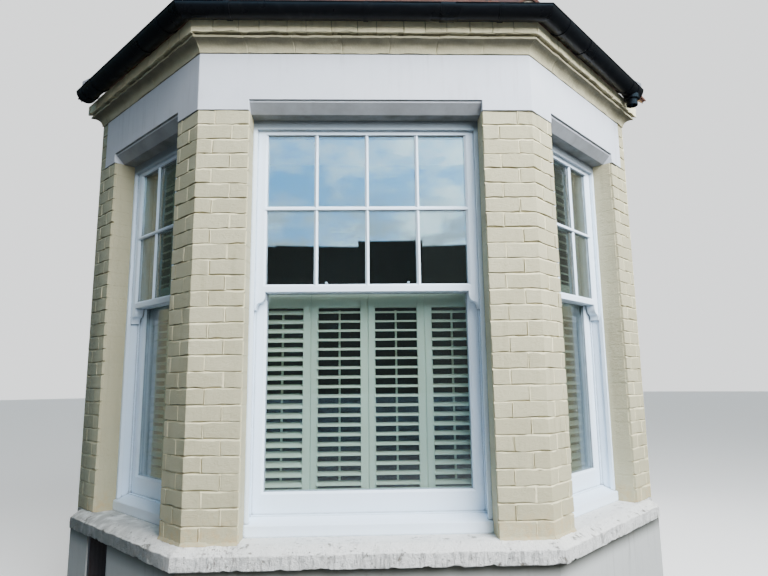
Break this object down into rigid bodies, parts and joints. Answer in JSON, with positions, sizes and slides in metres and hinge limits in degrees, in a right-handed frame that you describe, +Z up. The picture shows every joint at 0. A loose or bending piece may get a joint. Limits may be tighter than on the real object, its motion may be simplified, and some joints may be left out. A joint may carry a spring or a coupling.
{
  "type": "bay window",
  "caption": "Ground-storey canted bay window of painted brick with white sliding sashes, louvred shutters, a stone sill, a moulded cornice, a gutter and a tiled roof.",
  "frame": {"origin": "on the ground under the middle of the overall box; the bay is symmetric about X = 0", "axes": "+Z up, +X to the right seen from the street, the front faces -Y and the house wall is on the +Y side"},
  "size_m": [3.7668, 1.1692, 4.0607],
  "materials": {
    "render": "matt painted render",
    "sill_stone": "worn painted stone",
    "painted_brick": "matt cream masonry paint",
    "lintel_paint": "smooth matt masonry paint",
    "gutter_black": "black gloss paint",
    "clay_tile": "weathered clay",
    "lead": "dull patinated lead",
    "carpentry": "sawn softwood",
    "plaster": "matt plaster",
    "floorboards": "satin boards",
    "white_paint": "white satin paint on timber",
    "glazing": "clear sealed unit",
    "shutter_paint": "pale grey green satin paint",
    "white_metal": "white enamelled metal",
    "dark_board": "dark stained board"
  },
  "bodies": {
    "root": {"base_wall_front": "render", "base_wall_left": "render", "base_wall_right": "render", "vent_lining": "dark_board", "stone_sill_front": "sill_stone", "stone_sill_left": "sill_stone", "stone_sill_right": "sill_stone", "corner_pier_left": "painted_brick", "corner_pier_right": "painted_brick", "wall_pier_left": "painted_brick", "wall_pier_right": "painted_brick", "cornice_front": "painted_brick", "cornice_left": "painted_brick", "cornice_right": "painted_brick", "lintel_front": "lintel_paint", "lintel_left": "lintel_paint", "lintel_right": "lintel_paint", "gutter_front": "gutter_black", "gutter_left": "gutter_black", "gutter_right": "gutter_black", "gutter_brackets": "gutter_black", "roof_slope_front": "clay_tile", "roof_slope_left": "clay_tile", "roof_slope_right": "clay_tile", "hip_tiles_left": "clay_tile", "hip_tiles_right": "clay_tile", "lead_flashing": "lead", "roof_timbers": "carpentry", "ceiling_joists": "carpentry", "floor_joists": "carpentry", "ceiling": "plaster", "floor_boards": "floorboards", "window_board": "white_paint", "frame_front": "white_paint", "frame_left": "white_paint", "frame_right": "white_paint", "upper_sash_front": "white_paint", "upper_sash_left": "white_paint", "upper_sash_right": "white_paint", "lower_sash_front": "white_paint", "lower_sash_left": "white_paint", "lower_sash_right": "white_paint", "glass_front": "glazing", "glass_left": "glazing", "glass_right": "glazing", "sash_fasteners": "white_metal", "shutters_front": "shutter_paint", "shutters_left": "shutter_paint", "shutters_right": "shutter_paint"}
  },
  "joints": []
}
